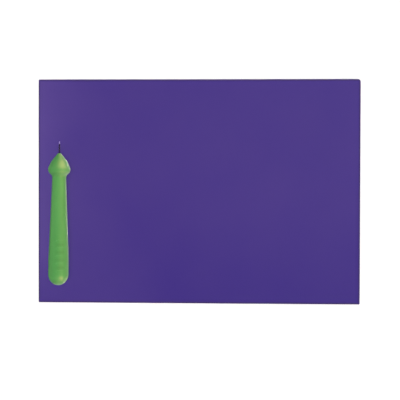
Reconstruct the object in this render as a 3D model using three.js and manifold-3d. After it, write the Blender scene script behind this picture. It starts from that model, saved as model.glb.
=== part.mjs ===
// Pricking board: a die-cut foam board with a pricking awl lying on it.
// Millimetres, +Z up. The origin is the middle of the board's underside, +X runs along the board's
// long side and +Y towards the awl's point.
import * as THREE from "three";
import { mergeVertices } from "three/addons/utils/BufferGeometryUtils.js";
import Module from "manifold-3d";

// Foam board
const BOARD_LENGTH = 300;
const BOARD_WIDTH = 209;
const BOARD_THICKNESS = 10;
const BOARD_CORNER_RADIUS = 1;
const BOARD_EDGE_ROUND = 0.7; // the skin rolls over a little where the die came through
const BOARD_SIDE_DISH = 0.5; // a die-cut wall draws in half-way up

// Where the awl lies on the board
const AWL_FROM_LEFT_EDGE = 20.4; // to the middle of the butt
const AWL_FROM_FRONT_EDGE = 17.3; // to the end of the butt
const AWL_YAW = THREE.MathUtils.degToRad(-0.6); // the point leans to the right
const AWL_ROLL = THREE.MathUtils.degToRad(20); // its grip bars have rolled to the right
const SEAT_GAP = 0.3;

// Moulded handle, measured along its axis from the butt
const HANDLE_LENGTH = 122.3;
const BUTT_DIAMETER = 18.6;
const BUTT_LENGTH = 10.4; // of the round end
const BARREL_DIAMETER = 18.4;
const BARREL_LENGTH = 27; // from the butt to where the taper to the waist begins
const BARREL_BLEND_RADIUS = 120;
const WAIST_DIAMETER = 13.2; // where the taper ends
const WAIST_LENGTH = 9.7; // from there to the neck
const WAIST_BLEND_RADIUS = 300;
const NECK_DIAMETER = 12.8;
const NECK_FILLET = 3.2;

// Head of the handle, which stops the fingers, measured from the nose
const HEAD_LENGTH = 20.9; // to the neck
const RIM_DEPTH = 16.3;
const RIM_DIAMETER = 22.8; // where the two cones of the head would meet
const RIM_ROUND = 5.4;
const KNEE_DEPTH = 7.2;
const KNEE_DIAMETER = 14.2;
const KNEE_BLEND_RADIUS = 6;
const NOSE_DIAMETER = 2.6;
const NOSE_ROUND = 0.4;

// Raised grip bars across the top of the barrel
const BAR_COUNT = 5;
const BAR_PITCH = 7;
const BAR_FROM_BUTT = 13.5; // to the middle of the first bar
const BAR_LENGTH = 7.5; // across the handle
const BAR_WIDTH = 2;
const BAR_HEIGHT = 0.4;

// Steel needle
const NEEDLE_DIAMETER = 1.5;
const NEEDLE_REACH = 11; // out of the nose
const NEEDLE_DEPTH = 24; // inside the handle
const POINT_LENGTH = 3.5;
const POINT_DIAMETER = 0.3;
const TAIL_LENGTH = 6; // the end that is flattened so that the plastic holds it
const TAIL_SPREAD = 1.5; // how much wider the flattened end is than the round wire
const NEEDLE_CLEARANCE = 0.1;

// Facets
const HANDLE_FACETS = 48;
const NEEDLE_FACETS = 16;
const TAIL_STEPS = 6;
const FILLET_STEPS = 4;
const BUTT_STEPS = 10;
const CORNER_STEPS = 6;
const EDGE_STEPS = 3;
const WALL_STEPS = 6;

const wasm = await Module();
wasm.setup();

// A closed geometry as a solid that can be joined and cut.
function solidOf(geometry) {
  const bare = geometry.clone();
  bare.deleteAttribute("normal");
  bare.deleteAttribute("uv");
  const merged = mergeVertices(bare);
  return new wasm.Manifold(
    new wasm.Mesh({
      numProp: 3,
      vertProperties: merged.attributes.position.array,
      triVerts: new Uint32Array(merged.index.array),
    }),
  );
}

// A solid's surface as a geometry.
function geometryOf(solid) {
  const { vertProperties, triVerts } = solid.getMesh();
  const geometry = new THREE.BufferGeometry();
  geometry.setAttribute("position", new THREE.BufferAttribute(vertProperties, 3));
  geometry.setIndex(new THREE.BufferAttribute(triVerts, 1));
  geometry.computeVertexNormals();
  return geometry;
}

// Moves every vertex of a geometry by a function of its place.
function reshape(geometry, move) {
  const position = geometry.attributes.position;
  const point = new THREE.Vector3();
  for (let i = 0; i < position.count; i++) {
    move(point.fromBufferAttribute(position, i));
    position.setXYZ(i, point.x, point.y, point.z);
  }
  geometry.computeVertexNormals();
  return geometry;
}

// The round that replaces a corner: an arc tangent to the lines from it to its two neighbours.
function fillet(before, corner, after, radius) {
  const towardBefore = before.clone().sub(corner).normalize();
  const towardAfter = after.clone().sub(corner).normalize();
  const half = Math.acos(THREE.MathUtils.clamp(towardBefore.dot(towardAfter), -1, 1)) / 2;
  const bisector = towardBefore.clone().add(towardAfter).normalize();
  const centre = corner.clone().addScaledVector(bisector, radius / Math.sin(half));
  const reach = radius / Math.tan(half);
  const start = corner.clone().addScaledVector(towardBefore, reach).sub(centre);
  const end = corner.clone().addScaledVector(towardAfter, reach).sub(centre);
  const clockwise = start.cross(end) < 0;
  return new THREE.EllipseCurve(
    centre.x, centre.y, radius, radius, start.angle(), end.angle(), clockwise,
  );
}

function roundedRectangle(length, width, radius) {
  const x = length / 2;
  const y = width / 2;
  const shape = new THREE.Shape();
  shape.absarc(x - radius, -y + radius, radius, -Math.PI / 2, 0);
  shape.absarc(x - radius, y - radius, radius, 0, Math.PI / 2);
  shape.absarc(-x + radius, y - radius, radius, Math.PI / 2, Math.PI);
  shape.absarc(-x + radius, -y + radius, radius, Math.PI, 1.5 * Math.PI);
  shape.closePath();
  return shape;
}

// Foam board: a rounded rectangle cut by a die, with its edges rolled over and its walls drawn in.
function foamBoard() {
  const outline = roundedRectangle(BOARD_LENGTH, BOARD_WIDTH, BOARD_CORNER_RADIUS);
  const wall = BOARD_THICKNESS - 2 * BOARD_EDGE_ROUND;
  const geometry = new THREE.ExtrudeGeometry(outline, {
    depth: wall,
    steps: WALL_STEPS,
    curveSegments: CORNER_STEPS,
    bevelThickness: BOARD_EDGE_ROUND,
    bevelSize: BOARD_EDGE_ROUND,
    bevelOffset: -BOARD_EDGE_ROUND,
    bevelSegments: EDGE_STEPS,
  });
  geometry.translate(0, 0, BOARD_EDGE_ROUND);
  return reshape(geometry, (point) => {
    const fromMiddle = (point.z - BOARD_THICKNESS / 2) / (wall / 2);
    const inset = BOARD_SIDE_DISH * Math.max(0, 1 - fromMiddle * fromMiddle);
    point.x *= 1 - inset / (BOARD_LENGTH / 2);
    point.y *= 1 - inset / (BOARD_WIDTH / 2);
  });
}

// The handle's outline as radius against length, from the middle of the butt to the middle of the nose.
function handleProfile() {
  const butt = BUTT_DIAMETER / 2;
  const shoulder = new THREE.Vector2(butt, BUTT_LENGTH);
  const barrel = new THREE.Vector2(BARREL_DIAMETER / 2, BARREL_LENGTH);
  const neck = new THREE.Vector2(NECK_DIAMETER / 2, HANDLE_LENGTH - HEAD_LENGTH);
  const waist = new THREE.Vector2(WAIST_DIAMETER / 2, neck.y - WAIST_LENGTH);
  const rim = new THREE.Vector2(RIM_DIAMETER / 2, HANDLE_LENGTH - RIM_DEPTH);
  const knee = new THREE.Vector2(KNEE_DIAMETER / 2, HANDLE_LENGTH - KNEE_DEPTH);
  const nose = new THREE.Vector2(NOSE_DIAMETER / 2, HANDLE_LENGTH);
  const middle = new THREE.Vector2(0, HANDLE_LENGTH);
  const dome = new THREE.EllipseCurve(0, BUTT_LENGTH, butt, BUTT_LENGTH, -Math.PI / 2, 0);
  return [
    new THREE.Vector2(0, 0),
    ...dome.getPoints(BUTT_STEPS).slice(1),
    ...fillet(shoulder, barrel, waist, BARREL_BLEND_RADIUS).getPoints(FILLET_STEPS),
    ...fillet(barrel, waist, neck, WAIST_BLEND_RADIUS).getPoints(FILLET_STEPS),
    ...fillet(waist, neck, rim, NECK_FILLET).getPoints(FILLET_STEPS),
    ...fillet(neck, rim, knee, RIM_ROUND).getPoints(2 * FILLET_STEPS),
    ...fillet(rim, knee, nose, KNEE_BLEND_RADIUS).getPoints(FILLET_STEPS),
    ...fillet(knee, nose, middle, NOSE_ROUND).getPoints(FILLET_STEPS),
    middle,
  ];
}

// The handle's profile made thicker all round, and revolved about +Y.
function handleForm(profile, grow) {
  const grown = profile.map((point) => new THREE.Vector2(point.x > 0 ? point.x + grow : 0, point.y));
  return solidOf(new THREE.LatheGeometry(grown, HANDLE_FACETS));
}

// One grip bar: a round-ended prism that stands on the handle's axis, at a length along it.
function gripBar(along) {
  const bar = roundedRectangle(BAR_LENGTH, BAR_WIDTH, BAR_WIDTH / 2);
  const geometry = new THREE.ExtrudeGeometry(bar, {
    depth: BUTT_DIAMETER,
    curveSegments: FILLET_STEPS,
    bevelEnabled: false,
  });
  return solidOf(geometry.translate(0, along, 0));
}

// Moulded handle: a revolved form with grip bars that follow its round, and the needle's hole.
function awlHandle(profile) {
  const skin = handleForm(profile, BAR_HEIGHT);
  let handle = handleForm(profile, 0);
  for (let i = 0; i < BAR_COUNT; i++) {
    const bar = gripBar(BAR_FROM_BUTT + i * BAR_PITCH);
    handle = handle.add(bar.intersect(skin));
  }
  return geometryOf(handle.subtract(solidOf(awlNeedle(NEEDLE_CLEARANCE))));
}

// Steel needle: a pointed wire whose inner end is flattened. For its hole it grows by the clearance.
function awlNeedle(grow) {
  const radius = NEEDLE_DIAMETER / 2 + grow;
  const tail = HANDLE_LENGTH - NEEDLE_DEPTH;
  const tip = HANDLE_LENGTH + NEEDLE_REACH;
  const profile = [new THREE.Vector2(0, tail - grow)];
  for (let i = 0; i <= TAIL_STEPS; i++) {
    profile.push(new THREE.Vector2(radius, tail - grow + (i / TAIL_STEPS) * TAIL_LENGTH));
  }
  profile.push(new THREE.Vector2(radius, HANDLE_LENGTH));
  profile.push(new THREE.Vector2(radius, tip - POINT_LENGTH));
  profile.push(new THREE.Vector2(POINT_DIAMETER / 2 + grow, tip));
  profile.push(new THREE.Vector2(0, tip));
  const wire = new THREE.LatheGeometry(profile, NEEDLE_FACETS);
  return reshape(wire, (point) => {
    const flattened = 1 - THREE.MathUtils.smoothstep(point.y, tail, tail + TAIL_LENGTH);
    const spread = 1 + (TAIL_SPREAD - 1) * flattened;
    point.x *= spread;
    point.z /= spread;
  });
}

// How far the awl tips up at its point when it rests on its butt and on the rim of its head.
function restTilt(profile) {
  const half = HANDLE_LENGTH / 2;
  const widest = (points) => points.reduce((a, b) => (b.x > a.x ? b : a));
  const butt = widest(profile.filter((point) => point.y < half));
  const rim = widest(profile.filter((point) => point.y >= half));
  return Math.atan2(rim.x - butt.x, rim.y - butt.y);
}

// How high the middle of the butt lies above what the tipped awl rests on.
function restHeight(profile, tilt) {
  return Math.max(...profile.map((point) => point.x * Math.cos(tilt) - point.y * Math.sin(tilt)));
}

function placedAwl() {
  const profile = handleProfile();
  const tilt = restTilt(profile);
  const plastic = new THREE.MeshStandardMaterial({ color: 0x55a04c, roughness: 0.35, metalness: 0 });
  const steel = new THREE.MeshStandardMaterial({ color: 0xc8c9cf, roughness: 0.2, metalness: 1 });
  const handle = new THREE.Mesh(awlHandle(profile), plastic);
  handle.name = "awl_handle";
  const needle = new THREE.Mesh(awlNeedle(0), steel);
  needle.name = "awl_needle";
  const awl = new THREE.Group();
  awl.add(handle, needle);
  awl.position.set(
    AWL_FROM_LEFT_EDGE - BOARD_LENGTH / 2,
    AWL_FROM_FRONT_EDGE - BOARD_WIDTH / 2,
    BOARD_THICKNESS + SEAT_GAP + restHeight(profile, tilt),
  );
  awl.rotation.set(tilt, AWL_ROLL, AWL_YAW, "ZXY");
  return awl;
}

const foam = new THREE.MeshStandardMaterial({ color: 0x4d3b88, roughness: 0.85, metalness: 0 });
const board = new THREE.Mesh(foamBoard(), foam);
board.name = "foam_board";

const prickingBoard = new THREE.Group();
prickingBoard.add(board, placedAwl());

export default prickingBoard;
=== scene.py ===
"""Pricking board: the finished foam board, awl handle and needle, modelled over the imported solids.

Metres, +Z up. The origin is the middle of the board's underside, and the awl's needle points along +Y.
"""

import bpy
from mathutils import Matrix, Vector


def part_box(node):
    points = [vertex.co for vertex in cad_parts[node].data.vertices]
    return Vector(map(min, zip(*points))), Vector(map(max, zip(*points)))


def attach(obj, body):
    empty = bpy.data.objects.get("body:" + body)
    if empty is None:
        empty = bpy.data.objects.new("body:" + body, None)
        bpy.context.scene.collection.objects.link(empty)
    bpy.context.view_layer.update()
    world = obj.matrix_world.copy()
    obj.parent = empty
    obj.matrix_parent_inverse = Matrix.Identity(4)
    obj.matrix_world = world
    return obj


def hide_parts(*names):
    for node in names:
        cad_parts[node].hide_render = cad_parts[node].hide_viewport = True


bl_info = {
    "name": "Pricking Board",
    "version": (1, 0, 0),
    "blender": (4, 5, 0),
    "location": "3D View > Sidebar > Pricking Board",
    "description": "Models a foam pricking board with its awl and lights them on a pale floor",
    "category": "Object",
}

import math
from contextlib import contextmanager

import bmesh
import bpy
from bpy.props import FloatProperty, FloatVectorProperty, IntProperty, PointerProperty
from mathutils import Euler, Matrix, Vector

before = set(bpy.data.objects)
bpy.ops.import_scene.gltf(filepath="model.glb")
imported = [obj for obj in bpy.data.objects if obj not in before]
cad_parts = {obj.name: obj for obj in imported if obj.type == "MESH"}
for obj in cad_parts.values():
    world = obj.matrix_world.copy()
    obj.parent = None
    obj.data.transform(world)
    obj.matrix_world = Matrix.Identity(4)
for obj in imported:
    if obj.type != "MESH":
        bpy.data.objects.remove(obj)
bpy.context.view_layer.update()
BOARD_LOW, BOARD_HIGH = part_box("foam_board")

WELD = 1e-6  # vertices closer than this are one
SAME_PLACE = 1e-5  # how close to a plane a vertex counts as on it
WHITE = (1.0, 1.0, 1.0)

# Settings


def size(name, description, default):
    """A length in metres."""
    return FloatProperty(name=name, description=description, default=default, unit="LENGTH", precision=5)


def count(name, description, default):
    """A whole number, one or more."""
    return IntProperty(name=name, description=description, default=default, min=1)


def number(name, description, default):
    """A plain number."""
    return FloatProperty(name=name, description=description, default=default)


def share(name, description, default):
    """A number from 0 to 1."""
    return FloatProperty(name=name, description=description, default=default, subtype="FACTOR", min=0, max=1)


def span(name, description, default):
    """A pair of numbers, one for each end of a range."""
    return FloatVectorProperty(name=name, description=description, default=default, size=2)


def colour(name, description, default):
    """A linear colour."""
    return FloatVectorProperty(
        name=name, description=description, default=default, subtype="COLOR", size=3, min=0, max=1
    )


class FoamBoardSettings(bpy.types.PropertyGroup):
    """Sizes, colours and finish of the foam board."""

    length: size("Length", "Long side of the board", BOARD_HIGH.x - BOARD_LOW.x)
    width: size("Width", "Short side of the board", BOARD_HIGH.y - BOARD_LOW.y)
    thickness: size("Thickness", "Thickness of the foam", BOARD_HIGH.z - BOARD_LOW.z)
    corner_radius: size("Corner radius", "Round of the crisp corners", 0.001)
    worn_radius: size("Worn radius", "Round of the worn corner at the back right", 0.0026)
    corner_steps: count("Corner steps", "Faces round each corner", 8)
    edge_round: size("Edge round", "How far the skin rolls over at the cut edges", 0.0007)
    edge_steps: count("Edge steps", "Faces over the rolled edges", 5)
    side_dish: size("Side dish", "How far the cut walls draw in half-way up", 0.0005)
    wall_steps: count("Wall steps", "Rows of faces up the cut walls", 8)
    grid: size("Grid", "Spacing of the vertices over the faces", 0.006)
    wander: size("Wander", "How far the upper face strays from flat", 0.0002)
    wander_span: size("Wander span", "Distance from one swell of the face to the next", 0.07)

    # Deep and pale: random clouds of tone, and also painted light, darker at the front and paler at the back
    # and near the left edge.
    deep: colour("Deep purple", "Foam colour in the dark clouds and at the front", (0.0207, 0.0065, 0.1345))
    pale: colour("Pale purple", "Foam colour in the pale clouds and at the back", (0.0380, 0.0187, 0.150))
    # Rubbed purple is a painted sheen: a lighter purple laid along the left edge, standing in for light
    # shining off the skin.
    rubbed: colour("Rubbed purple", "Foam colour where hands have rubbed the skin", (0.059, 0.033, 0.178))
    # Cut purple is darker partly for the open cells and partly as painted shade on the cut walls and along
    # the edges.
    cut: colour("Cut purple", "Foam colour in the open cells of the cut walls", (0.024, 0.012, 0.080))
    clouds: number("Clouds", "Clouds of colour in a metre", 22.0)
    grain_share: share("Grain share", "Share of the fine grain in the mottling", 0.35)
    # Painted light: how much the tone follows the place on the board, and how far in from the left edge the
    # paler light reaches.
    painted_light_share: share("Place share", "Share of the place on the board in the tone", 0.6)
    painted_light_left: size("Pale left", "How far in from the left edge the front is as pale as the back", 0.14)
    # Where the painted sheen lies: along the left edge, less at the front, and patchy in the dark clouds.
    sheen_span: size("Rubbed span", "How far the rubbed skin reaches in from the left edge", 0.09)
    sheen_fade: number("Rub fade", "Power that gathers the rubbed skin at the left edge", 3.0)
    sheen_dim_front: size("Unrubbed front", "How far back from the front edge the skin is less rubbed", 0.045)
    front_sheen: share("Front rub", "How far the skin is still rubbed at the front edge", 0.1)
    patch_sheen: share("Patch rub", "How far the skin is still rubbed in the dark clouds", 0.7)
    # The edges are darkened partly as skin dulled by the die and partly as painted shade.
    pressed_and_shaded_edge: size("Pressed edge", "How far in from its edges the die has dulled the skin", 0.0022)

    grain: number("Grain", "Grains of the skin in a metre", 900.0)
    pits: number("Pits", "Pits of the skin in a metre", 1700.0)
    pit_wall: span("Pit wall", "Where the wall of a pit starts and ends, from its middle", (0.05, 0.45))
    pit_share: share("Pit share", "Share of the pits in the relief of the skin", 0.5)
    cells: number("Cells", "Open cells of the cut walls in a metre", 1100.0)
    cell_wall: span("Cell wall", "Where the wall of a cell starts and ends, from its middle", (0.05, 0.6))
    cut_lean: span("Cut lean", "Sideways lean of a face where the cut starts and is whole", (0.05, 0.7))
    relief: share("Relief", "Strength of the grain, pits and cells", 0.35)
    relief_depth: size("Relief depth", "Depth of the grain, pits and cells", 0.00012)
    roughness: span("Roughness", "Roughness of the deepest and of the palest foam", (0.72, 0.84))
    gloss: share("Gloss", "Specular level of the foam", 0.32)
    sheen: share("Sheen", "Weight of the foam's sheen", 0.03)
    sheen_roughness: share("Sheen roughness", "Roughness of the foam's sheen", 0.5)


class AwlHandleSettings(bpy.types.PropertyGroup):
    """Sizes, colours and finish of the moulded handle, measured along its axis."""

    length: size("Length", "From the butt to the nose", 0.1223)
    butt: size("Butt diameter", "Diameter of the round butt", 0.0186)
    butt_length: size("Butt length", "Length of the round end", 0.0104)
    butt_steps: count("Butt steps", "Faces along the round end", 20)
    barrel: size("Barrel diameter", "Diameter where the taper begins", 0.0184)
    barrel_length: size("Barrel length", "From the butt to where the taper begins", 0.027)
    barrel_blend: size("Barrel blend", "Radius of the blend into the taper", 0.12)
    waist: size("Waist diameter", "Diameter where the taper ends", 0.0132)
    waist_length: size("Waist length", "From the end of the taper to the neck", 0.0097)
    waist_blend: size("Waist blend", "Radius of the blend out of the taper", 0.3)
    neck: size("Neck diameter", "Diameter under the head", 0.0128)
    neck_fillet: size("Neck fillet", "Radius of the fillet under the head", 0.0032)
    head_length: size("Head length", "From the nose to the neck", 0.0209)
    rim: size("Rim diameter", "Where the two cones of the head would meet", 0.0228)
    rim_depth: size("Rim depth", "From the nose to the rim", 0.0163)
    rim_round: size("Rim round", "Radius of the rim", 0.0054)
    rim_steps: count("Rim steps", "Faces along the rim", 16)
    knee: size("Knee diameter", "Where the head's slope changes", 0.0142)
    knee_depth: size("Knee depth", "From the nose to the change of slope", 0.0072)
    knee_blend: size("Knee blend", "Radius of the change of slope", 0.006)
    nose: size("Nose diameter", "Diameter of the flat nose", 0.0026)
    nose_round: size("Nose round", "Radius of the nose's edge", 0.0004)
    blend_steps: count("Blend steps", "Faces along the other blends", 8)
    steps: count("Steps", "Faces round the handle", 96)
    bars: count("Grip bars", "Raised bars across the barrel", 5)
    bar_pitch: size("Bar pitch", "From one grip bar to the next", 0.007)
    bar_start: size("Bar start", "From the butt to the first grip bar", 0.0135)
    bar_length: size("Bar length", "Length of a grip bar across the handle", 0.0075)
    bar_width: size("Bar width", "Width of a grip bar along the handle", 0.002)
    bar_height: size("Bar height", "How far a grip bar stands out", 0.0004)
    bar_end_steps: count("Bar end steps", "Faces round each corner of a grip bar", 6)
    bar_round: size("Bar round", "Round of a grip bar's edges", 0.00036)
    bar_round_steps: count("Bar round steps", "Faces over a grip bar's edges", 4)
    seam_width: size("Seam width", "Width of the mould's parting line", 0.0003)
    seam_height: size("Seam height", "Height of the mould's parting line", 0.00005)

    green: colour("Leaf green", "Colour of the plastic", (0.0568, 0.2254, 0.0575))
    flow: colour("Flow green", "Colour of the paler streaks in the plastic", (0.0667, 0.2451, 0.0642))
    # Painted shade: a darker green laid in the hollows between the grip bars.
    painted_shade: colour("Grip grime", "Colour of the grime between the grip bars", (0.047, 0.193, 0.0495))
    painted_shade_fade: size("Grime fade", "How softly the grime ends at the sides of the bars", 0.0015)
    streaks: number("Streaks", "Flow streaks in a metre across the handle", 130.0)
    streak_pace: share("Streak pace", "Pace of the streaks along the handle, against across it", 0.22)
    scuffs: number("Scuffs", "Scuffs in a metre across the handle", 1500.0)
    scuff_pace: share("Scuff pace", "Pace of the scuffs along the handle, against across it", 0.08)
    scuff_level: share("Scuff level", "Level of the noise at which a scuff starts", 0.62)
    peel: number("Peel", "Dimples of the moulded skin in a metre", 700.0)
    peel_relief: share("Peel relief", "Strength of the dimples", 0.12)
    peel_depth: size("Peel depth", "Depth of the dimples", 0.00008)
    roughness: span("Roughness", "Roughness of the plastic and of its paler streaks", (0.34, 0.41))
    scuff_roughness: share("Scuff roughness", "Roughness of the scuffs", 0.5)
    rubbed_roughness: share("Rubbed roughness", "Roughness of the rubbed underside", 0.95)
    rubbed_slope: share("Rubbed slope", "How far down a wholly rubbed face looks, as a sine", 0.3)
    gloss: share("Gloss", "Specular level of the plastic", 0.8)
    glint: colour("Glint", "Tint of the plastic's reflections seen straight on", (1.0, 0.58, 0.26))
    sheen: share("Sheen", "Weight of the plastic's sheen", 0.05)
    sheen_roughness: share("Sheen roughness", "Roughness of the plastic's sheen", 0.4)
    sheen_tint: colour("Sheen tint", "Tint of the plastic's sheen", (0.90, 0.80, 1.0))


class AwlNeedleSettings(bpy.types.PropertyGroup):
    """Sizes, colours and finish of the steel needle."""

    diameter: size("Diameter", "Diameter of the wire", 0.0015)
    reach: size("Reach", "How far the needle stands out of the nose", 0.011)
    depth: size("Depth", "How far the needle goes into the handle", 0.024)
    point_length: size("Point length", "Length of the ground point", 0.0035)
    point: size("Point diameter", "Diameter at the end of the point", 0.0003)
    point_blend: size("Point blend", "Radius of the blend into the point", 0.007)
    point_steps: count("Point steps", "Faces along the blend into the point", 6)
    tip_steps: count("Tip steps", "Faces over the end of the point", 4)
    tail_length: size("Tail length", "Length of the flattened inner end", 0.006)
    tail_spread: number("Tail spread", "How much wider the tail is than the wire", 1.5)
    tail_steps: count("Tail steps", "Faces along the tail", 8)
    clearance: size("Clearance", "Gap between the needle and its hole", 0.00006)
    steps: count("Steps", "Faces round the needle", 32)

    # The drawn steel is darkened and tinted purple as a painted reflection of the dark surround and the
    # purple board.
    steel: colour("Drawn steel", "Colour of the dark drawn wire", (0.17, 0.13, 0.26))
    # The bright lavender steel at the end of the point is a painted glint.
    ground: colour("Ground steel", "Colour of the bare ground steel at the point", (0.58, 0.52, 0.76))
    glint_length: size("Ground length", "Length of bright bare steel at the end of the point", 0.0013)
    lines: number("Die lines", "Fine lines that the drawing die leaves in a metre across", 9000.0)
    line_pace: share("Line pace", "Pace of the die lines along the wire, against across it", 0.04)
    line_level: share("Line level", "Level of the noise at which a die line starts", 0.52)
    line_relief: share("Line relief", "Strength of the die lines", 0.05)
    line_depth: size("Line depth", "Depth of the die lines", 0.000005)
    line_roughness: share("Line roughness", "Roughness of the die lines", 0.36)
    clouds: number("Clouds", "Clouds of gloss in a metre", 400.0)
    roughness: span("Roughness", "Roughness of the wire between and in its clouds", (0.16, 0.24))
    glint_roughness: share("Ground roughness", "Roughness of the bare ground steel", 0.5)


class StageSettings(bpy.types.PropertyGroup):
    """Floor, light and camera."""

    floor: size("Floor", "Side of the floor", 12.0)
    floor_colour: colour("Floor colour", "Colour of the floor", (0.67, 0.67, 0.67))
    floor_roughness: share("Floor roughness", "Roughness of the floor", 0.9)
    floor_gloss: share("Floor gloss", "Specular level of the floor", 0.1)
    surround: number("Surround", "Strength of the light all round", 0.2)
    mirrored: number("Mirrored surround", "Strength of the light all round in reflections", 0.15)
    lens: FloatProperty(name="Lens", description="Focal length of the camera", default=85.0, unit="CAMERA")
    camera: FloatVectorProperty(
        name="Camera",
        description="Place of the camera",
        default=(0.0348, 0.0046, 0.8893),
        subtype="TRANSLATION",
    )
    turn: FloatVectorProperty(
        name="Turn",
        description="How the camera is turned from straight down",
        default=(math.radians(-0.81), math.radians(2.17), math.radians(0.15)),
        subtype="EULER",
    )


class PrickingBoardSettings(bpy.types.PropertyGroup):
    """All the settings of the pricking board."""

    board: PointerProperty(type=FoamBoardSettings)
    handle: PointerProperty(type=AwlHandleSettings)
    needle: PointerProperty(type=AwlNeedleSettings)
    stage: PointerProperty(type=StageSettings)


# Modelling tools


def only(piece):
    """Makes one piece the only selected one, and the active one."""
    bpy.ops.object.select_all(action="DESELECT")
    piece.select_set(True)
    bpy.context.view_layer.objects.active = piece


@contextmanager
def editing(piece):
    """Edit mode on one piece."""
    only(piece)
    bpy.ops.object.mode_set(mode="EDIT")
    yield
    bpy.ops.object.mode_set(mode="OBJECT")


def pick(piece, kind, test):
    """Selects, in edit mode, just the vertices or edges that pass a test."""
    bpy.ops.mesh.select_mode(type=kind)
    bpy.ops.mesh.select_all(action="DESELECT")
    mesh = bmesh.from_edit_mesh(piece.data)
    elements = {"VERT": mesh.verts, "EDGE": mesh.edges}[kind]
    found = [element for element in elements if test(element)]
    if not found:
        raise RuntimeError(f"{piece.name}: nothing to select")
    for element in found:
        element.select_set(True)
    mesh.select_flush_mode()
    bmesh.update_edit_mesh(piece.data)


def is_level(edge):
    """Whether an edge runs level."""
    return abs(edge.verts[0].co.z - edge.verts[1].co.z) < SAME_PLACE


def cut_across(point, normal):
    """Cuts the whole mesh in edit mode along a plane."""
    bpy.ops.mesh.select_all(action="SELECT")
    bpy.ops.mesh.bisect(plane_co=point, plane_no=normal)


def steps_between(low, high, spacing):
    """Evenly spaced values from low to high, about as far apart as the spacing."""
    steps = max(1, round((high - low) / spacing))
    return [low + (high - low) * i / steps for i in range(steps + 1)]


def clamp(value):
    """A value held between 0 and 1."""
    return min(1, max(0, value))


def apply_modifier(piece, kind, **settings):
    """Adds a modifier with its settings and applies it."""
    only(piece)
    bpy.ops.object.modifier_add(type=kind)
    modifier = piece.modifiers[-1]
    for name, value in settings.items():
        setattr(modifier, name, value)
    bpy.ops.object.modifier_apply(modifier=modifier.name)


def combine(piece, tool, operation):
    """Joins, cuts or keeps the common part of a piece and a tool, which is used up."""
    apply_modifier(piece, "BOOLEAN", object=tool, operation=operation, solver="EXACT")
    bpy.data.objects.remove(tool)


def smooth(piece, degrees):
    """Shades a piece smooth, apart from edges sharper than an angle."""
    only(piece)
    bpy.ops.object.shade_smooth_by_angle(angle=math.radians(degrees))


def settle(piece, place):
    """Puts a piece in its place, and the place into its mesh."""
    piece.matrix_world = place
    only(piece)
    bpy.ops.object.transform_apply(location=True, rotation=True, scale=True)


def mark(piece, name, measure):
    """Stores on each vertex how far it belongs to a patch of the surface, from 0 to 1."""
    marks = piece.data.attributes.new(name, "FLOAT", "POINT")
    for vertex in piece.data.vertices:
        marks.data[vertex.index].value = clamp(measure(vertex))


def block(name, middle, sides):
    """A plain block to start a piece from."""
    bpy.ops.object.select_all(action="DESELECT")
    bpy.ops.mesh.primitive_cube_add(size=1, location=middle, scale=sides)
    piece = bpy.context.object
    piece.name = piece.data.name = name
    bpy.ops.object.transform_apply(location=True, rotation=True, scale=True)
    return piece


def rounded(before, corner, after, radius, steps):
    """Points of the arc that rounds a corner, tangent to the lines to its two neighbours."""
    to_before = (before - corner).normalized()
    to_after = (after - corner).normalized()
    half = to_before.angle(to_after) / 2
    centre = corner + (to_before + to_after).normalized() * radius / math.sin(half)
    start = corner + to_before * radius / math.tan(half) - centre
    end = corner + to_after * radius / math.tan(half) - centre
    return [centre + radius * start.slerp(end, i / steps) for i in range(steps + 1)]


def spin(name, outline, steps):
    """Turns an outline of (radius, length) points about +Y into a closed piece."""
    bpy.ops.object.select_all(action="DESELECT")
    bpy.ops.mesh.primitive_plane_add(size=1)
    piece = bpy.context.object
    piece.name = piece.data.name = name
    with editing(piece):
        bpy.ops.mesh.select_mode(type="VERT")
        bpy.ops.mesh.select_all(action="SELECT")
        bpy.ops.mesh.merge(type="CENTER")
        bpy.ops.transform.translate(value=outline[0].to_3d())
        for before, after in zip(outline, outline[1:]):
            bpy.ops.mesh.extrude_region_move(TRANSFORM_OT_translate={"value": (after - before).to_3d()})
        bpy.ops.mesh.select_all(action="SELECT")
        bpy.ops.mesh.spin(steps=steps, angle=math.tau, center=(0, 0, 0), axis=(0, 1, 0))
        bpy.ops.mesh.select_all(action="SELECT")
        bpy.ops.mesh.remove_doubles(threshold=WELD)
        bpy.ops.mesh.normals_make_consistent(inside=False)
    return piece


# Node tools

# Octaves of noise in each pattern
CLOUD_DETAIL = 4.0
SCUFF_DETAIL = 3.0
GRAIN_DETAIL = 3.0
PEEL_DETAIL = 2.0

CLOUD_LEVELS = (0.32, 0.68)  # levels of the noise at which a cloud starts and is whole
SCUFF_FADE = 0.12  # how far above its starting level a scuff is whole


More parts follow.
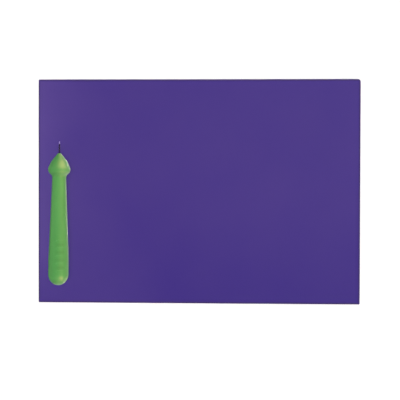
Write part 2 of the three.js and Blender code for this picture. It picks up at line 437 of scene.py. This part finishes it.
class Bench:
    """Adds nodes to a material or a group, with their settings, values and links."""

    def __init__(self, tree):
        self.tree = tree

    def feed(self, sockets, values):
        """Links or sets the inputs of a node."""
        for socket, value in values.items():
            if isinstance(value, bpy.types.NodeSocket):
                self.tree.links.new(value, sockets[socket])
            else:
                sockets[socket].default_value = value

    def add(self, kind, values=None, **settings):
        """A new node."""
        node = self.tree.nodes.new(kind)
        for name, value in settings.items():
            setattr(node, name, value)
        self.feed(node.inputs, values or {})
        return node

    def place(self):
        """The place on the object."""
        return self.add("ShaderNodeTexCoord").outputs["Object"]

    def split(self, vector):
        """The X, Y and Z of a vector."""
        return self.add("ShaderNodeSeparateXYZ", {"Vector": vector}).outputs

    def stored(self, name):
        """What a piece's own attribute holds."""
        return self.add("ShaderNodeAttribute", attribute_name=name).outputs["Fac"]

    def in_frame(self, vector, matrix):
        """A place as it is seen from a frame of its own."""
        values = {"Vector": vector, "Location": matrix.to_translation(), "Rotation": matrix.to_euler()}
        return self.add("ShaderNodeMapping", values, vector_type="TEXTURE").outputs["Vector"]

    def drawn_out(self, vector, pace):
        """A place that goes by at a slower pace along Y, so that a pattern is drawn out that way."""
        values = {"Vector": vector, "Scale": (1.0, pace, 1.0)}
        return self.add("ShaderNodeMapping", values).outputs["Vector"]

    def noise(self, vector, scale, detail):
        """Soft noise from 0 to 1."""
        values = {"Vector": vector, "Scale": scale, "Detail": detail}
        return self.add("ShaderNodeTexNoise", values).outputs["Fac"]

    def cells(self, vector, scale):
        """Distance from the middle of the nearest of many cells."""
        values = {"Vector": vector, "Scale": scale}
        return self.add("ShaderNodeTexVoronoi", values).outputs["Distance"]

    def math(self, operation, *values):
        """One step of arithmetic."""
        return self.add("ShaderNodeMath", dict(enumerate(values)), operation=operation).outputs[0]

    def product(self, first, *others):
        """All the values multiplied together."""
        for other in others:
            first = self.math("MULTIPLY", first, other)
        return first

    def remap(self, value, low, high, to_low=0.0, to_high=1.0):
        """A value with its low and high ends moved, and held between them."""
        values = {"Value": value, "From Min": low, "From Max": high, "To Min": to_low, "To Max": to_high}
        return self.add("ShaderNodeMapRange", values).outputs["Result"]

    def mix(self, factor, a, b):
        """A number between two."""
        return self.add("ShaderNodeMix", {0: factor, 2: a, 3: b}, data_type="FLOAT").outputs[0]

    def mix_colour(self, factor, a, b):
        """A colour between two."""
        return self.add("ShaderNodeMix", {0: factor, 6: a, 7: b}, data_type="RGBA").outputs[2]

    def bump(self, height, strength, distance):
        """Normals that follow a height."""
        values = {"Height": height, "Strength": strength, "Distance": distance}
        return self.add("ShaderNodeBump", values).outputs["Normal"]

    def clouded(self, vector, per_metre):
        """The clouding effect, placed here."""
        values = {"Vector": vector, "Clouds per Metre": per_metre}
        return self.add("ShaderNodeGroup", values, node_tree=clouding_group()).outputs["Cloud"]

    def scuffed(self, vector, per_metre, level):
        """The scuffing effect, placed here."""
        values = {"Vector": vector, "Scuffs per Metre": per_metre, "Level": level}
        return self.add("ShaderNodeGroup", values, node_tree=scuffing_group()).outputs["Scuff"]


def opaque(rgb):
    """A colour with its alpha."""
    return (*rgb, 1.0)


def new_group(name, inputs, outputs):
    """An empty shader node group with named sockets, and its bench and two ends."""
    group = bpy.data.node_groups.new(name, "ShaderNodeTree")
    for socket, kind in inputs.items():
        group.interface.new_socket(socket, in_out="INPUT", socket_type=kind)
    for socket, kind in outputs.items():
        group.interface.new_socket(socket, in_out="OUTPUT", socket_type=kind)
    bench = Bench(group)
    return group, bench, bench.add("NodeGroupInput").outputs, bench.add("NodeGroupOutput").inputs


def clouding_group():
    """Slow drift of a colour or gloss over a surface, from 0 to 1."""
    name = "Clouding"
    if name in bpy.data.node_groups:
        return bpy.data.node_groups[name]
    inputs = {"Vector": "NodeSocketVector", "Clouds per Metre": "NodeSocketFloat"}
    group, bench, given, out = new_group(name, inputs, {"Cloud": "NodeSocketFloat"})
    drift = bench.noise(given["Vector"], given["Clouds per Metre"], CLOUD_DETAIL)
    bench.feed(out, {"Cloud": bench.remap(drift, *CLOUD_LEVELS)})
    return group


def scuffing_group():
    """Fine hairline scuffs, as a mask from 0 to 1."""
    name = "Scuffing"
    if name in bpy.data.node_groups:
        return bpy.data.node_groups[name]
    inputs = {"Vector": "NodeSocketVector", "Scuffs per Metre": "NodeSocketFloat", "Level": "NodeSocketFloat"}
    group, bench, given, out = new_group(name, inputs, {"Scuff": "NodeSocketFloat"})
    hair = bench.noise(given["Vector"], given["Scuffs per Metre"], SCUFF_DETAIL)
    whole = bench.math("ADD", given["Level"], SCUFF_FADE)
    bench.feed(out, {"Scuff": bench.remap(hair, given["Level"], whole)})
    return group


def new_material(name):
    """A material with a plain Principled shader, its bench and the shader's sockets."""
    material = bpy.data.materials.new(name)
    material.use_nodes = True
    shader = material.node_tree.nodes["Principled BSDF"]
    return material, Bench(material.node_tree), shader.inputs


# Foam board

CORNER_ROOM = 1.2  # where the grid over the faces starts, in radii of the worn corner
FOAM_CREASE = 40.0  # degrees at an edge of the foam past which it stays sharp


def foam_tone(bench, across, cloud, grain, board):
    """How pale the foam is, from 0 to 1: mottled at random, and with painted light that makes it paler
    towards the back and along the left side.
    """
    left = -board.length / 2
    front = -board.width / 2
    at_back = bench.remap(across["Y"], front, 0.0)
    at_left = bench.remap(across["X"], left + board.painted_light_left, left + board.painted_light_left / 2)
    mottling = bench.mix(board.grain_share, cloud, grain)
    return bench.mix(board.painted_light_share, mottling, bench.math("MAXIMUM", at_back, at_left))


def foam_painted_sheen(bench, across, cloud, board):
    """How far the painted sheen lightens the skin, from 0 to 1: most at the left edge, and little at the
    front.
    """
    left = -board.length / 2
    front = -board.width / 2
    near_left = bench.math("POWER", bench.remap(across["X"], left + board.sheen_span, left), board.sheen_fade)
    off_front = bench.remap(across["Y"], front, front + board.sheen_dim_front, board.front_sheen, 1.0)
    return bench.product(near_left, off_front, bench.mix(cloud, board.patch_sheen, 1.0))


def foam_press_and_shade(bench, across, board):
    """How far the edges are darkened, from 0 to 1: partly skin dulled by the die, and partly painted shade.
    """
    from_sides = bench.math("SUBTRACT", board.length / 2, bench.math("ABSOLUTE", across["X"]))
    from_ends = bench.math("SUBTRACT", board.width / 2, bench.math("ABSOLUTE", across["Y"]))
    return bench.remap(bench.math("MINIMUM", from_sides, from_ends), board.pressed_and_shaded_edge, board.edge_round)


def foam_material(board):
    """Closed-cell foam: a matte skin with fine pits, and open cells where it is cut; its colour also holds
    painted light, painted sheen and painted shade.
    """
    material, bench, shader = new_material("purple_foam")
    place = bench.place()
    across = bench.split(place)
    cloud = bench.clouded(place, board.clouds)
    grain = bench.noise(place, board.grain, GRAIN_DETAIL)
    pits = bench.remap(bench.cells(place, board.pits), *board.pit_wall)
    cells = bench.remap(bench.cells(place, board.cells), *board.cell_wall)
    cut = bench.remap(bench.stored("cut_wall"), *board.cut_lean)
    tone = foam_tone(bench, across, cloud, grain, board)
    clean = bench.mix_colour(tone, opaque(board.deep), opaque(board.pale))
    # Painted sheen: the skin is lightened along the left edge, where light shines off it.
    skin = bench.mix_colour(foam_painted_sheen(bench, across, cloud, board), clean, opaque(board.rubbed))
    # Painted shade darkens the edges, on top of the skin dulled by the die.
    face = bench.mix_colour(foam_press_and_shade(bench, across, board), skin, opaque(board.cut))
    # The cut walls are darker partly for their open cells and partly as painted shade.
    wall = bench.mix_colour(cells, opaque(board.cut), skin)
    height = bench.mix(cut, bench.mix(board.pit_share, grain, pits), cells)
    finish = {
        "Base Color": bench.mix_colour(cut, face, wall),
        "Roughness": bench.mix(tone, *board.roughness),
        "Normal": bench.bump(height, board.relief, board.relief_depth),
        "Specular IOR Level": board.gloss,
        "Sheen Weight": board.sheen,
        "Sheen Roughness": board.sheen_roughness,
    }
    bench.feed(shader, finish)
    return material


def is_corner(edge, half):
    """Whether an edge is one of the upright corners of a plain block."""
    low, high = (vert.co for vert in edge.verts)
    at_corner = abs(abs(low.x) - half.x) < SAME_PLACE and abs(abs(low.y) - half.y) < SAME_PLACE
    return at_corner and abs(low.z - high.z) > half.z


def is_back_right(edge, half):
    """Whether an edge is at the back right corner."""
    place = edge.verts[0].co
    return place.x > half.x - SAME_PLACE and place.y > half.y - SAME_PLACE


def round_edges(piece, board, half):
    """Rounds a worn corner and three crisp ones, and rolls over the edges of both faces."""
    for worn, radius in ((True, board.worn_radius), (False, board.corner_radius)):
        pick(piece, "EDGE", lambda edge: is_corner(edge, half) and is_back_right(edge, half) == worn)
        bpy.ops.mesh.bevel(offset=radius, segments=board.corner_steps, affect="EDGES")
    pick(piece, "EDGE", is_level)
    bpy.ops.mesh.bevel(offset=board.edge_round, segments=board.edge_steps, affect="EDGES")


def cut_grid(board, half, wall_levels):
    """Cuts a grid over the faces, and rows up the walls."""
    margin = CORNER_ROOM * board.worn_radius
    for x in steps_between(margin - half.x, half.x - margin, board.grid):
        cut_across((x, 0, 0), (1, 0, 0))
    for y in steps_between(margin - half.y, half.y - margin, board.grid):
        cut_across((0, y, 0), (0, 1, 0))
    for level in wall_levels:
        cut_across((0, 0, level), (0, 0, 1))


def draw_in_walls(piece, board, half, wall_levels):
    """Draws the cut walls in, most of all half-way up."""
    for level in wall_levels:
        from_middle = (level - half.z) / (half.z - board.edge_round)
        inset = board.side_dish * (1 - from_middle**2)
        drawn_in = (1 - inset / half.x, 1 - inset / half.y, 1)
        pick(piece, "VERT", lambda vert: abs(vert.co.z - level) < SAME_PLACE)
        bpy.ops.transform.resize(value=drawn_in, center_override=(0, 0, level))


def model_board(board):
    """A sheet with three crisp corners and a worn one, rolled edges and drawn-in walls."""
    half = Vector((board.length, board.width, board.thickness)) / 2
    wall_low = board.edge_round
    wall_high = board.thickness - board.edge_round
    wall_levels = steps_between(wall_low, wall_high, (wall_high - wall_low) / board.wall_steps)[1:-1]
    piece = block("foam_board_sheet", (0, 0, half.z), 2 * half)
    with editing(piece):
        round_edges(piece, board, half)
        cut_grid(board, half, wall_levels)
        draw_in_walls(piece, board, half, wall_levels)
    return piece


def swell_face(piece, board):
    """Lets the upper face stray a little from flat, as pressed foam does."""
    swell = bpy.data.textures.new("foam_swell", "CLOUDS")
    swell.noise_scale = board.wander_span
    group = piece.vertex_groups.new(name="upper_face")
    top = [v.index for v in piece.data.vertices if v.co.z > board.thickness - SAME_PLACE]
    group.add(top, 1.0, "REPLACE")
    apply_modifier(
        piece,
        "DISPLACE",
        texture=swell,
        texture_coords="LOCAL",
        direction="Z",
        strength=board.wander,
        mid_level=1.0,  # the face sinks from its full height and never rises
        vertex_group=group.name,
    )


class PRICKING_OT_foam_board(bpy.types.Operator):
    """Model the die-cut foam board"""

    bl_idname = "pricking.foam_board"
    bl_label = "Foam board"

    def execute(self, context):
        board = context.scene.pricking_board.board
        piece = model_board(board)
        swell_face(piece, board)
        mark(piece, "cut_wall", lambda vertex: vertex.normal.to_2d().length)
        smooth(piece, FOAM_CREASE)
        piece.data.materials.append(foam_material(board))
        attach(piece, "board")
        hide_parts("foam_board")
        return {"FINISHED"}


# Awl

BAR_END_SHARE = 0.49  # round of a grip bar's ends in bar widths, so that they don't quite meet
TIP_SHARE = 0.6  # round of the needle's end in radii of the point
GLINT_FADE = 0.5  # share of the glint length over which the painted glint fades
AWL_CREASE = 35.0  # degrees at an edge of the awl past which it stays sharp
MICRON_DIGITS = 6  # decimals of a length in metres, down to a micron


def awl_place(handle, needle):
    """The awl's own frame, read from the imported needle: +Y to its point, +X across its flattened tail."""
    points = [vertex.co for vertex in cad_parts["awl_needle"].data.vertices]
    ends = []
    for end in (max(p.y for p in points), min(p.y for p in points)):
        ring = [p for p in points if abs(p.y - end) < needle.point]
        ends.append((sum(ring, Vector()) / len(ring), ring))
    (tip, _), (tail, tail_ring) = ends
    along = (tip - tail).normalized()
    widest = max(tail_ring, key=lambda p: (p - tail).cross(along).length)
    across = widest - tail - along * (widest - tail).dot(along)
    across = across.normalized() * math.copysign(1, across.x)
    up = across.cross(along)
    butt = tip - along * (handle.length + needle.reach)
    turned = Matrix((across, along, up)).transposed().to_4x4()
    return Matrix.Translation(butt) @ turned


def grip_painted_shade(bench, place, handle, awl):
    """How far painted shade darkens the hollows between the grip bars, from 0 to 1."""
    own = bench.split(bench.in_frame(place, awl))
    last_bar = handle.bar_start + (handle.bars - 1) * handle.bar_pitch
    half_pitch = handle.bar_pitch / 2
    side = handle.bar_length / 2
    past_first = bench.math("SUBTRACT", own["Y"], handle.bar_start)
    from_bar = bench.math("PINGPONG", past_first, half_pitch)
    from_middle = bench.math("ABSOLUTE", own["X"])
    return bench.product(
        bench.remap(from_bar, handle.bar_width / 2, half_pitch),
        bench.remap(from_middle, side + handle.painted_shade_fade, side - handle.painted_shade_fade),
        bench.math("GREATER_THAN", own["Y"], handle.bar_start),
        bench.math("LESS_THAN", own["Y"], last_bar),
        bench.math("GREATER_THAN", own["Z"], 0.0),
    )


def plastic_material(handle, awl):
    """Semi-gloss moulded plastic with flow streaks along the handle, light scuffs and painted shade between
    the grip bars.
    """
    material, bench, shader = new_material("green_plastic")
    place = bench.place()
    streak = bench.clouded(bench.drawn_out(place, handle.streak_pace), handle.streaks)
    scuff = bench.scuffed(bench.drawn_out(place, handle.scuff_pace), handle.scuffs, handle.scuff_level)
    peel = bench.noise(place, handle.peel, PEEL_DETAIL)
    # Painted shade in the hollows between the grip bars.
    painted_shade = grip_painted_shade(bench, place, handle, awl)
    streaked = bench.mix_colour(streak, opaque(handle.green), opaque(handle.flow))
    dulled = bench.mix(scuff, bench.mix(streak, *handle.roughness), handle.scuff_roughness)
    finish = {
        "Base Color": bench.mix_colour(painted_shade, streaked, opaque(handle.painted_shade)),
        "Roughness": bench.mix(bench.stored("rubbed_underside"), dulled, handle.rubbed_roughness),
        "Normal": bench.bump(peel, handle.peel_relief, handle.peel_depth),
        "Specular IOR Level": handle.gloss,
        "Specular Tint": opaque(handle.glint),
        "Sheen Weight": handle.sheen,
        "Sheen Roughness": handle.sheen_roughness,
        "Sheen Tint": opaque(handle.sheen_tint),
    }
    bench.feed(shader, finish)
    return material


def steel_material(needle):
    """Wire with the die's fine lines along it, its steel colour darkened and tinted purple as a painted
    reflection of the dark surround and the purple board, and a painted glint in bright steel at the end of
    the point.
    """
    material, bench, shader = new_material("needle_steel")
    place = bench.place()
    lines = bench.scuffed(bench.drawn_out(place, needle.line_pace), needle.lines, needle.line_level)
    cloud = bench.clouded(place, needle.clouds)
    drawn = bench.mix(lines, bench.mix(cloud, *needle.roughness), needle.line_roughness)
    # Painted glint: bright steel laid on the end of the point.
    ground = bench.stored("glint_point")
    finish = {
        "Base Color": bench.mix_colour(ground, opaque(needle.steel), opaque(needle.ground)),
        "Roughness": bench.mix(ground, drawn, needle.glint_roughness),
        "Normal": bench.bump(lines, needle.line_relief, needle.line_depth),
        "Metallic": 1.0,
    }
    bench.feed(shader, finish)
    return material


def handle_outline(handle, grow=0.0):
    """The handle's outline as (radius, length), from the middle of the butt to the middle of the nose."""
    butt = handle.butt / 2
    middle = Vector((0, handle.length))
    shoulder = Vector((butt, handle.butt_length))
    barrel = Vector((handle.barrel / 2, handle.barrel_length))
    neck = Vector((handle.neck / 2, handle.length - handle.head_length))
    waist = Vector((handle.waist / 2, neck.y - handle.waist_length))
    rim = Vector((handle.rim / 2, handle.length - handle.rim_depth))
    knee = Vector((handle.knee / 2, handle.length - handle.knee_depth))
    nose = Vector((handle.nose / 2, handle.length))
    dome = [i / handle.butt_steps * math.pi / 2 for i in range(1, handle.butt_steps)]
    outline = [Vector((butt * math.sin(a), handle.butt_length * (1 - math.cos(a)))) for a in dome]
    outline += [shoulder]
    outline += rounded(shoulder, barrel, waist, handle.barrel_blend, handle.blend_steps)
    outline += rounded(barrel, waist, neck, handle.waist_blend, handle.blend_steps)
    outline += rounded(waist, neck, rim, handle.neck_fillet, handle.blend_steps)
    outline += rounded(neck, rim, knee, handle.rim_round, handle.rim_steps)
    outline += rounded(rim, knee, nose, handle.knee_blend, handle.blend_steps)
    outline += rounded(knee, nose, middle, handle.nose_round, handle.blend_steps)
    return [Vector((0, 0)), *(p + Vector((grow, 0)) for p in outline), middle]


def raise_seam(piece, handle):
    """Raises the thin parting line that the two halves of the mould leave along the handle."""
    half = handle.seam_width / 2
    with editing(piece):
        for side in (-half, half):
            cut_across((0, 0, side), (0, 0, 1))
        pick(piece, "VERT", lambda vert: abs(vert.co.z) < SAME_PLACE)
        bpy.ops.transform.shrink_fatten(value=handle.seam_height)


def model_bars(handle):
    """A row of round-ended grip bars whose tops follow the round of the barrel."""
    radius = handle.butt / 2
    end_round = BAR_END_SHARE * handle.bar_width
    first_bar = (0, handle.bar_start, radius)
    bars = block("grip_bars", first_bar, (handle.bar_length, handle.bar_width, radius))
    with editing(bars):
        pick(bars, "EDGE", lambda edge: not is_level(edge))
        bpy.ops.mesh.bevel(offset=end_round, segments=handle.bar_end_steps, affect="EDGES")
        for i in range(1, handle.bars):
            pick(bars, "VERT", lambda vert: vert.co.y < handle.bar_start + handle.bar_width)
            bpy.ops.mesh.duplicate_move(TRANSFORM_OT_translate={"value": (0, i * handle.bar_pitch, 0)})
    skin = spin("bar_skin", handle_outline(handle, handle.bar_height), handle.steps)
    combine(bars, skin, "INTERSECT")
    apply_modifier(
        bars, "BEVEL", width=handle.bar_round, segments=handle.bar_round_steps, limit_method="ANGLE"
    )
    return bars


def needle_outline(needle, handle, grow=0.0):
    """The needle's outline as (radius, length), from its flattened tail to its point."""
    radius = needle.diameter / 2 + grow
    tail = handle.length - needle.depth - grow
    tip = handle.length + needle.reach
    point = Vector((needle.point / 2 + grow, tip))
    shoulder = Vector((radius, tip - needle.point_length))
    tail_step = needle.tail_length / needle.tail_steps
    outline = [Vector((0, tail))]
    outline += [Vector((radius, tail + tail_step * i)) for i in range(needle.tail_steps + 1)]
    outline += rounded(Vector((radius, tail)), shoulder, point, needle.point_blend, needle.point_steps)
    outline += rounded(shoulder, point, Vector((0, tip)), TIP_SHARE * point.x, needle.tip_steps)
    return outline + [Vector((0, tip))]


def flatten_tail(piece, needle, handle):
    """Flattens the inner end of the needle so that it is wider across and thinner through."""
    tail = handle.length - needle.depth
    tail_end = tail + needle.tail_length
    levels = sorted({round(v.co.y, MICRON_DIGITS) for v in piece.data.vertices if v.co.y < tail_end})
    with editing(piece):
        for level in levels:
            passed = clamp((level - tail) / needle.tail_length)
            eased = passed * passed * (3 - 2 * passed)
            spread = 1 + (needle.tail_spread - 1) * (1 - eased)
            pick(piece, "VERT", lambda vert: abs(vert.co.y - level) < SAME_PLACE)
            bpy.ops.transform.resize(value=(spread, 1, 1 / spread), center_override=(0, level, 0))


def model_needle(name, needle, handle, grow=0.0):
    """The needle, or the larger shape of its hole, in the awl's own frame."""
    piece = spin(name, needle_outline(needle, handle, grow), needle.steps)
    flatten_tail(piece, needle, handle)
    return piece


def glint_share(vertex, needle, handle):
    """How far a vertex in the awl's own frame belongs to the painted glint at the end of the point."""
    tip = handle.length + needle.reach
    from_tip = (tip - vertex.co.y) / needle.glint_length
    return (1 - from_tip) / GLINT_FADE


class PRICKING_OT_awl_handle(bpy.types.Operator):
    """Model the moulded handle with its grip bars, parting line and needle hole"""

    bl_idname = "pricking.awl_handle"
    bl_label = "Awl handle"

    def execute(self, context):
        handle = context.scene.pricking_board.handle
        needle = context.scene.pricking_board.needle
        piece = spin("awl_handle_moulding", handle_outline(handle), handle.steps)
        raise_seam(piece, handle)
        combine(piece, model_bars(handle), "UNION")
        combine(piece, model_needle("needle_hole", needle, handle, needle.clearance), "DIFFERENCE")
        smooth(piece, AWL_CREASE)
        awl = awl_place(handle, needle)
        settle(piece, awl)
        mark(piece, "rubbed_underside", lambda vertex: -vertex.normal.z / handle.rubbed_slope)
        piece.data.materials.append(plastic_material(handle, awl))
        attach(piece, "awl")
        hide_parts("awl_handle")
        return {"FINISHED"}


class PRICKING_OT_awl_needle(bpy.types.Operator):
    """Model the pointed steel needle with its flattened tail"""

    bl_idname = "pricking.awl_needle"
    bl_label = "Awl needle"

    def execute(self, context):
        handle = context.scene.pricking_board.handle
        needle = context.scene.pricking_board.needle
        piece = model_needle("awl_needle_pin", needle, handle)
        mark(piece, "glint_point", lambda vertex: glint_share(vertex, needle, handle))
        smooth(piece, AWL_CREASE)
        settle(piece, awl_place(handle, needle))
        piece.data.materials.append(steel_material(needle))
        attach(piece, "awl")
        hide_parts("awl_needle")
        return {"FINISHED"}


# Stage

WARM = (1.00, 0.70, 0.50)

# Name, direction it comes from, spread in degrees, colour, strength and shading of each even light.
# Of these only the softbox shades, so the shadow of the awl is faint and close under it.
WALLS = (
    ("overhead_dome", (0.0, 0.0, 1.0), 170.0, WHITE, 2.38, False),
    ("overhead_softbox", (0.0, 0.0, 1.0), 30.0, WHITE, 1.72, True),
    ("right_wall", (0.98, 0.0, 0.17), 60.0, WARM, 2.47, False),
)

# Name, bearing from +X and angle from overhead in degrees, side and watts of each card.
# The last four stand for the light that a white table throws up from below.
CARDS = (
    ("main_card", 45.0, 72.0, 2.6, 84.0),
    ("back_card", 70.0, 50.0, 2.6, 41.0),
    ("front_card", 292.0, 60.0, 2.6, 22.0),
    ("front_right_card", 312.0, 60.0, 1.2, 34.0),
    ("back_bounce", 36.0, 146.0, 1.6, 30.0),
    ("right_bounce", 0.0, 138.0, 0.8, 1.5),
    ("front_bounce", 314.0, 125.0, 1.6, 22.0),
    ("butt_bounce", 268.0, 130.0, 1.6, 16.0),
)
CARD_TARGET = Vector((-0.13, -0.02, 0.02))  # about the middle of the awl
CARD_DISTANCE = 2.4

# Height above the horizon, as a sine, and brightness of the light all round
SURROUND_BANDS = ((0.0, 0.15), (0.35, 1.0), (0.80, 1.0), (0.96, 0.25), (1.0, 0.2))


def add_light(kind, name, place, towards, tint, strength, shades=False):
    """A light that the camera doesn't see, and that shines through the object unless it shades."""
    aim = towards.to_track_quat("-Z", "Y")
    bpy.ops.object.light_add(type=kind, location=place, rotation=aim.to_euler())
    light = bpy.context.object
    light.name = name
    light.visible_camera = False
    light.data.color = tint
    light.data.energy = strength
    light.data.use_shadow = shades
    # Sampled from the light alone, because rays sent from a surface would be blocked by the object
    light.data.cycles.use_multiple_importance_sampling = False
    return light


def set_walls():
    """Even light from above and from the right, which shows in no reflection."""
    for name, source, spread, tint, strength, shades in WALLS:
        light = add_light("SUN", name, source, -Vector(source), tint, strength, shades)
        light.data.angle = math.radians(spread)
        light.visible_glossy = False


def set_cards():
    """White cards that show only in reflections."""
    for name, bearing, from_overhead, side, watts in CARDS:
        tilt = Euler((0, math.radians(from_overhead), math.radians(bearing)))
        outwards = tilt.to_matrix() @ Vector((0, 0, CARD_DISTANCE))
        light = add_light("AREA", name, CARD_TARGET + outwards, -outwards, WHITE, watts)
        light.data.size = side
        light.visible_diffuse = False


def set_surround(stage):
    """Light from all round, brightest half-way up, weaker in reflections and plain white to the eye."""
    world = bpy.data.worlds.new("surround")
    world.use_nodes = True
    bench = Bench(world.node_tree)
    direction = bench.add("ShaderNodeTexCoord").outputs["Generated"]
    ramp = bench.add("ShaderNodeValToRGB", {"Fac": bench.split(direction)["Z"]})
    bands = ramp.color_ramp.elements  # the ramp's own two ends are the first and the last band
    for height, _ in SURROUND_BANDS[1:-1]:
        bands.new(height)
    for band, (_, brightness) in zip(bands, SURROUND_BANDS):
        band.color = (brightness, brightness, brightness, 1.0)
    ray = bench.add("ShaderNodeLightPath").outputs
    lit = bench.mix(ray["Is Glossy Ray"], stage.surround, stage.mirrored)
    seen = {
        "Color": bench.mix_colour(ray["Is Camera Ray"], ramp.outputs["Color"], opaque(WHITE)),
        "Strength": bench.mix(ray["Is Camera Ray"], lit, 1.0),
    }
    bench.feed(world.node_tree.nodes["Background"].inputs, seen)
    bpy.context.scene.world = world
    bpy.context.scene.view_settings.view_transform = "Standard"


def lay_floor(stage):
    """A pale matte floor, which shows in no reflection."""
    bpy.ops.object.select_all(action="DESELECT")
    bpy.ops.mesh.primitive_plane_add(size=stage.floor)
    floor = bpy.context.object
    floor.name = "floor"
    floor.visible_glossy = False
    material, bench, shader = new_material("pale_floor")
    finish = {
        "Base Color": opaque(stage.floor_colour),
        "Roughness": stage.floor_roughness,
        "Specular IOR Level": stage.floor_gloss,
    }
    bench.feed(shader, finish)
    floor.data.materials.append(material)


def set_camera(stage):
    """The camera, almost straight above the board."""
    bpy.ops.object.camera_add(location=stage.camera, rotation=Euler(stage.turn))
    camera = bpy.context.object
    camera.name = "photo_camera"
    camera.data.lens = stage.lens
    bpy.context.scene.camera = camera


class PRICKING_OT_stage(bpy.types.Operator):
    """Lay the pale floor, set the soft lights and place the camera"""

    bl_idname = "pricking.stage"
    bl_label = "Stage"

    def execute(self, context):
        stage = context.scene.pricking_board.stage
        lay_floor(stage)
        set_walls()
        set_cards()
        set_surround(stage)
        set_camera(stage)
        return {"FINISHED"}


class PRICKING_PT_sidebar(bpy.types.Panel):
    """The pricking board's pieces and stage"""

    bl_idname = "PRICKING_PT_sidebar"
    bl_label = "Pricking Board"
    bl_space_type = "VIEW_3D"
    bl_region_type = "UI"
    bl_category = "Pricking Board"

    def draw(self, context):
        for operator in OPERATORS:
            self.layout.operator(operator.bl_idname)


OPERATORS = (PRICKING_OT_stage, PRICKING_OT_foam_board, PRICKING_OT_awl_handle, PRICKING_OT_awl_needle)
CLASSES = (
    FoamBoardSettings,
    AwlHandleSettings,
    AwlNeedleSettings,
    StageSettings,
    PrickingBoardSettings,
    *OPERATORS,
    PRICKING_PT_sidebar,
)


def register():
    """Registers the classes and gives the scene its settings."""
    for cls in CLASSES:
        bpy.utils.register_class(cls)
    bpy.types.Scene.pricking_board = PointerProperty(type=PrickingBoardSettings)


def unregister():
    """Takes the settings and the classes away again."""
    del bpy.types.Scene.pricking_board
    for cls in reversed(CLASSES):
        bpy.utils.unregister_class(cls)


def main():
    """Makes the stage and the pieces."""
    register()
    bpy.ops.pricking.stage()
    bpy.ops.pricking.foam_board()
    bpy.ops.pricking.awl_handle()
    bpy.ops.pricking.awl_needle()


if __name__ == "__main__":
    main()
